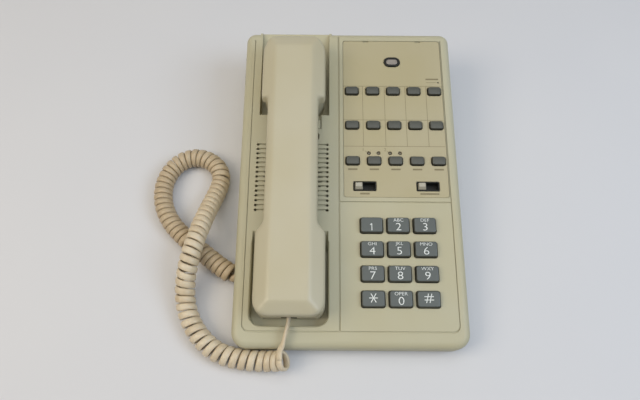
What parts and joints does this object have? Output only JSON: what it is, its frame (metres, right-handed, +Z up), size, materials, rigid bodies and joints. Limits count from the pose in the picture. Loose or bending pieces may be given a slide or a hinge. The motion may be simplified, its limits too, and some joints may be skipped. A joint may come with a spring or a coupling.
{
  "type": "two-line desk telephone",
  "caption": "Wedge-shaped desk telephone with a handset in two wells, a curly cord, dial and memory keys, slide switches and lamps.",
  "frame": {"origin": "under the middle of the set on the table, at the centre of its own box without the cord", "axes": "+Z up, +X to the right of someone who faces the keys, +Y to the rear"},
  "size_m": [0.2339, 0.2678, 0.0764],
  "materials": {
    "housing_plastic": "fine moulded texture",
    "key_plastic": "satin grey",
    "black_plastic": "satin black",
    "knob_plastic": "satin",
    "lens_plastic": "polished, translucent",
    "lamp_plastic": "polished, translucent",
    "jack_plastic": "satin",
    "clear_plastic": "clear",
    "cord_jacket": "satin",
    "rubber": "matte",
    "mat_rubber": "matte",
    "board": "satin",
    "paper": "matte paper",
    "steel": "zinc plated"
  },
  "bodies": {
    "root": {"top_housing": "housing_plastic", "base_pan": "housing_plastic", "memory_faceplate": "housing_plastic", "rubber_feet": "rubber", "case_screws": "steel", "message_lamp_bezel": "black_plastic", "message_lamp_lens": "lens_plastic", "line_lamps": "lamp_plastic", "key_board": "board", "key_contact_mat": "mat_rubber", "slide_switch_bodies": "black_plastic", "hook_switch": "black_plastic", "speaker_frame": "steel", "speaker_cone": "paper", "hands_free_microphone": "steel", "main_board": "board", "line_transformers": "steel", "line_jacks": "jack_plastic", "handset_cord_jack": "jack_plastic", "base_plug": "clear_plastic", "handset_lead": "cord_jacket", "curly_cord": "cord_jacket"},
    "dial_key_1": {"dial_key_1": "key_plastic"},
    "dial_key_2": {"dial_key_2": "key_plastic"},
    "dial_key_3": {"dial_key_3": "key_plastic"},
    "dial_key_4": {"dial_key_4": "key_plastic"},
    "dial_key_5": {"dial_key_5": "key_plastic"},
    "dial_key_6": {"dial_key_6": "key_plastic"},
    "dial_key_7": {"dial_key_7": "key_plastic"},
    "dial_key_8": {"dial_key_8": "key_plastic"},
    "dial_key_9": {"dial_key_9": "key_plastic"},
    "dial_key_star": {"dial_key_star": "key_plastic"},
    "dial_key_0": {"dial_key_0": "key_plastic"},
    "dial_key_hash": {"dial_key_hash": "key_plastic"},
    "memory_key_1": {"memory_key_1": "key_plastic"},
    "memory_key_2": {"memory_key_2": "key_plastic"},
    "memory_key_3": {"memory_key_3": "key_plastic"},
    "memory_key_4": {"memory_key_4": "key_plastic"},
    "memory_key_5": {"memory_key_5": "key_plastic"},
    "memory_key_6": {"memory_key_6": "key_plastic"},
    "memory_key_7": {"memory_key_7": "key_plastic"},
    "memory_key_8": {"memory_key_8": "key_plastic"},
    "memory_key_9": {"memory_key_9": "key_plastic"},
    "memory_key_10": {"memory_key_10": "key_plastic"},
    "function_key_1": {"function_key_1": "key_plastic"},
    "function_key_2": {"function_key_2": "key_plastic"},
    "function_key_3": {"function_key_3": "key_plastic"},
    "function_key_4": {"function_key_4": "key_plastic"},
    "function_key_5": {"function_key_5": "key_plastic"},
    "left_slide_knob": {"left_slide_knob": "knob_plastic"},
    "right_slide_knob": {"right_slide_knob": "knob_plastic"},
    "handset": {"handset_back_shell": "housing_plastic", "handset_front_shell": "housing_plastic", "receiver_capsule": "black_plastic", "microphone_capsule": "black_plastic", "handset_weight": "steel", "handset_end_jack": "jack_plastic", "handset_plug": "clear_plastic"},
    "hook_plunger": {"hook_plunger": "housing_plastic"},
    "handset_retainer": {"handset_retainer": "housing_plastic"}
  },
  "joints": [
    {"name": "dial_key_1_press", "type": "slide", "parent": "root", "child": "dial_key_1", "axis": [0, 0.1305, -0.9914], "range_m": [0, 0.0016], "stiffness_N_per_m": 300},
    {"name": "dial_key_2_press", "type": "slide", "parent": "root", "child": "dial_key_2", "axis": [0, 0.1305, -0.9914], "range_m": [0, 0.0016], "stiffness_N_per_m": 300},
    {"name": "dial_key_3_press", "type": "slide", "parent": "root", "child": "dial_key_3", "axis": [0, 0.1305, -0.9914], "range_m": [0, 0.0016], "stiffness_N_per_m": 300},
    {"name": "dial_key_4_press", "type": "slide", "parent": "root", "child": "dial_key_4", "axis": [0, 0.1305, -0.9914], "range_m": [0, 0.0016], "stiffness_N_per_m": 300},
    {"name": "dial_key_5_press", "type": "slide", "parent": "root", "child": "dial_key_5", "axis": [0, 0.1305, -0.9914], "range_m": [0, 0.0016], "stiffness_N_per_m": 300},
    {"name": "dial_key_6_press", "type": "slide", "parent": "root", "child": "dial_key_6", "axis": [0, 0.1305, -0.9914], "range_m": [0, 0.0016], "stiffness_N_per_m": 300},
    {"name": "dial_key_7_press", "type": "slide", "parent": "root", "child": "dial_key_7", "axis": [0, 0.1305, -0.9914], "range_m": [0, 0.0016], "stiffness_N_per_m": 300},
    {"name": "dial_key_8_press", "type": "slide", "parent": "root", "child": "dial_key_8", "axis": [0, 0.1305, -0.9914], "range_m": [0, 0.0016], "stiffness_N_per_m": 300},
    {"name": "dial_key_9_press", "type": "slide", "parent": "root", "child": "dial_key_9", "axis": [0, 0.1305, -0.9914], "range_m": [0, 0.0016], "stiffness_N_per_m": 300},
    {"name": "dial_key_star_press", "type": "slide", "parent": "root", "child": "dial_key_star", "axis": [0, 0.1305, -0.9914], "range_m": [0, 0.0016], "stiffness_N_per_m": 300},
    {"name": "dial_key_0_press", "type": "slide", "parent": "root", "child": "dial_key_0", "axis": [0, 0.1305, -0.9914], "range_m": [0, 0.0016], "stiffness_N_per_m": 300},
    {"name": "dial_key_hash_press", "type": "slide", "parent": "root", "child": "dial_key_hash", "axis": [0, 0.1305, -0.9914], "range_m": [0, 0.0016], "stiffness_N_per_m": 300},
    {"name": "memory_key_1_press", "type": "slide", "parent": "root", "child": "memory_key_1", "axis": [0, 0.1305, -0.9914], "range_m": [0, 0.0016], "stiffness_N_per_m": 300},
    {"name": "memory_key_2_press", "type": "slide", "parent": "root", "child": "memory_key_2", "axis": [0, 0.1305, -0.9914], "range_m": [0, 0.0016], "stiffness_N_per_m": 300},
    {"name": "memory_key_3_press", "type": "slide", "parent": "root", "child": "memory_key_3", "axis": [0, 0.1305, -0.9914], "range_m": [0, 0.0016], "stiffness_N_per_m": 300},
    {"name": "memory_key_4_press", "type": "slide", "parent": "root", "child": "memory_key_4", "axis": [0, 0.1305, -0.9914], "range_m": [0, 0.0016], "stiffness_N_per_m": 300},
    {"name": "memory_key_5_press", "type": "slide", "parent": "root", "child": "memory_key_5", "axis": [0, 0.1305, -0.9914], "range_m": [0, 0.0016], "stiffness_N_per_m": 300},
    {"name": "memory_key_6_press", "type": "slide", "parent": "root", "child": "memory_key_6", "axis": [0, 0.1305, -0.9914], "range_m": [0, 0.0016], "stiffness_N_per_m": 300},
    {"name": "memory_key_7_press", "type": "slide", "parent": "root", "child": "memory_key_7", "axis": [0, 0.1305, -0.9914], "range_m": [0, 0.0016], "stiffness_N_per_m": 300},
    {"name": "memory_key_8_press", "type": "slide", "parent": "root", "child": "memory_key_8", "axis": [0, 0.1305, -0.9914], "range_m": [0, 0.0016], "stiffness_N_per_m": 300},
    {"name": "memory_key_9_press", "type": "slide", "parent": "root", "child": "memory_key_9", "axis": [0, 0.1305, -0.9914], "range_m": [0, 0.0016], "stiffness_N_per_m": 300},
    {"name": "memory_key_10_press", "type": "slide", "parent": "root", "child": "memory_key_10", "axis": [0, 0.1305, -0.9914], "range_m": [0, 0.0016], "stiffness_N_per_m": 300},
    {"name": "function_key_1_press", "type": "slide", "parent": "root", "child": "function_key_1", "axis": [0, 0.1305, -0.9914], "range_m": [0, 0.0016], "stiffness_N_per_m": 300},
    {"name": "function_key_2_press", "type": "slide", "parent": "root", "child": "function_key_2", "axis": [0, 0.1305, -0.9914], "range_m": [0, 0.0016], "stiffness_N_per_m": 300},
    {"name": "function_key_3_press", "type": "slide", "parent": "root", "child": "function_key_3", "axis": [0, 0.1305, -0.9914], "range_m": [0, 0.0016], "stiffness_N_per_m": 300},
    {"name": "function_key_4_press", "type": "slide", "parent": "root", "child": "function_key_4", "axis": [0, 0.1305, -0.9914], "range_m": [0, 0.0016], "stiffness_N_per_m": 300},
    {"name": "function_key_5_press", "type": "slide", "parent": "root", "child": "function_key_5", "axis": [0, 0.1305, -0.9914], "range_m": [0, 0.0016], "stiffness_N_per_m": 300},
    {"name": "left_switch_slide", "type": "slide", "parent": "root", "child": "left_slide_knob", "axis": [1, 0, 0], "range_m": [0, 0.009]},
    {"name": "right_switch_slide", "type": "slide", "parent": "root", "child": "right_slide_knob", "axis": [1, 0, 0], "range_m": [0, 0.009]},
    {"name": "handset_lift", "type": "slide", "parent": "root", "child": "handset", "axis": [0, -0.1305, 0.9914], "range_m": [0, 0.06], "deforming": ["handset_lead"]},
    {"name": "hook_plunger_rise", "type": "slide", "parent": "root", "child": "hook_plunger", "axis": [0, -0.1305, 0.9914], "range_m": [0, 0.005]},
    {"name": "handset_retainer_pull", "type": "slide", "parent": "root", "child": "handset_retainer", "axis": [0, -0.1305, 0.9914], "range_m": [0, 0.007]}
  ],
  "couplings": [
    {"joint": "hook_plunger_rise", "follows": "handset_lift", "ratio": 0.083333}
  ]
}
